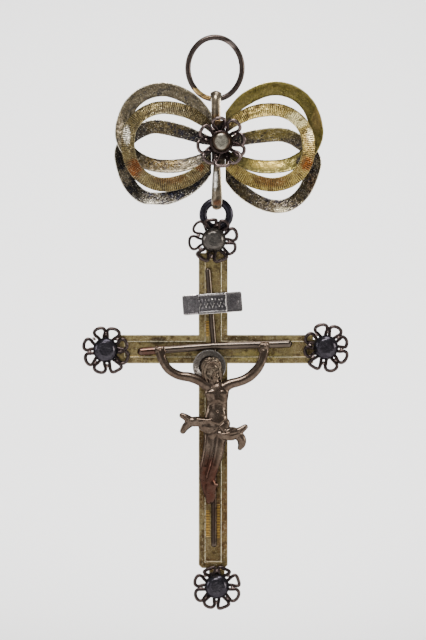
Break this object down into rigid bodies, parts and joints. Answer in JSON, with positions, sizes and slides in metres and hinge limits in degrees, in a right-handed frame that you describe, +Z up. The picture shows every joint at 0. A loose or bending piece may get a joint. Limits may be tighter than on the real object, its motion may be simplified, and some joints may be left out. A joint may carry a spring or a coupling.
{
  "type": "crucifix pendant",
  "caption": "Metal crucifix pendant: wire hanging ring, ribbon bow with a wire rosette, and a flat cross with rosettes at its ends, title plaque and cast figure.",
  "frame": {"origin": "inner top of the hanging ring, where a hook or cord carries it", "axes": "+Z up, front faces -Y, +X to the viewer's right"},
  "size_m": [0.0516, 0.0108, 0.1103],
  "materials": {
    "ring_wire": "dark patina, rubbed to brass at the lower left",
    "bail_metal": "worn, with warm spots",
    "ribbon_gilt": "milled gilt with worn silver and copper-brown patches",
    "ribbon_pale": "crackled silver gilt with dark pits",
    "rosette_wire": "blackened silver with bright crowns",
    "boss_metal": "dark domes with a flattened top",
    "plate_gilt": "rubbed gilt with tarnish in the field",
    "rod_metal": "dark brown patina",
    "plaque_metal": "grey-bronze patina",
    "figure_metal": "dark bronze patina with rubbed high places"
  },
  "bodies": {
    "ring": {"hang_ring": "ring_wire"},
    "bow": {"bow_core": "bail_metal", "loop_left_front": "ribbon_gilt", "loop_left_upper": "ribbon_pale", "loop_left_lower": "ribbon_pale", "loop_right_front": "ribbon_gilt", "loop_right_upper": "ribbon_pale", "loop_right_lower": "ribbon_pale", "bow_rosette": "rosette_wire", "bow_boss": "boss_metal"},
    "cross": {"cross_plate": "plate_gilt", "rod_cross": "rod_metal", "title_plaque": "plaque_metal", "corpus": "figure_metal", "rosette_top": "rosette_wire", "rosette_left": "rosette_wire", "rosette_right": "rosette_wire", "rosette_bottom": "rosette_wire", "boss_top": "boss_metal", "boss_left": "boss_metal", "boss_right": "boss_metal", "boss_bottom": "boss_metal"}
  },
  "joints": [
    {"name": "bow_swing", "type": "hinge", "parent": "ring", "child": "bow", "pos_m": [0, 0, -0.01132], "axis": [1, 0, 0], "range_deg": [-30, 75]},
    {"name": "cross_swing", "type": "hinge", "parent": "bow", "child": "cross", "pos_m": [0.00025, 0, -0.03093], "axis": [1, 0, 0], "range_deg": [-90, 90]}
  ]
}
